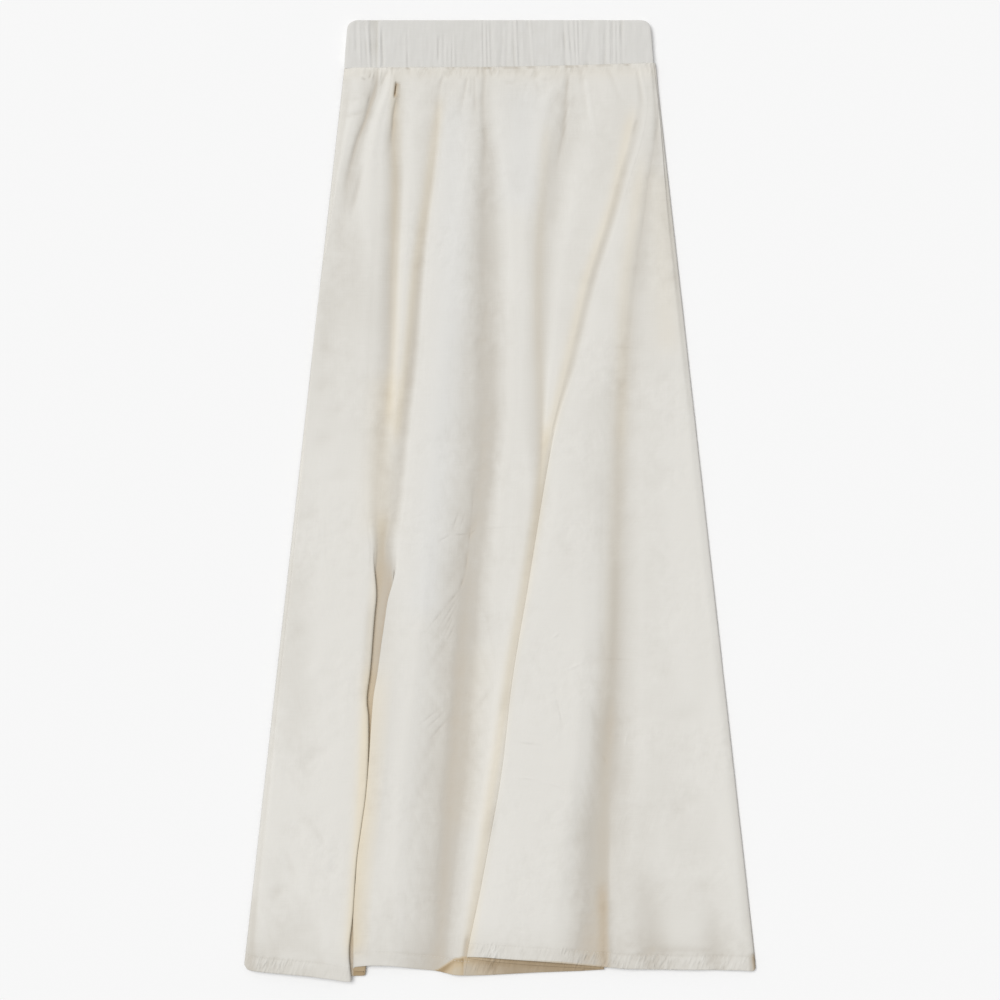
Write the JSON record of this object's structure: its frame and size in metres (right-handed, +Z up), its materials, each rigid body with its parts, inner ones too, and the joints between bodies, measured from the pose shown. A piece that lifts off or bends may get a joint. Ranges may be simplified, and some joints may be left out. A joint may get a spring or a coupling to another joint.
{
  "type": "midi skirt",
  "caption": "Long A-line skirt laid flat, front up: a gathered front panel with a knife pleat and an inverted pleat, a flat back panel and a wide elasticated waistband.",
  "frame": {"origin": "on the surface the skirt lies on, under the middle of its outline", "axes": "+Y from the hem towards the waistband, +Z up out of the front, +X to the right as seen from above"},
  "size_m": [0.508, 0.95, 0.008],
  "materials": {
    "cloth": "smooth plain-woven ivory cotton, slight sheen",
    "band_cloth": "the same cotton, ruched over an elastic"
  },
  "bodies": {
    "root": {"front_panel": "cloth", "back_panel": "cloth", "waistband": "band_cloth"}
  },
  "joints": []
}
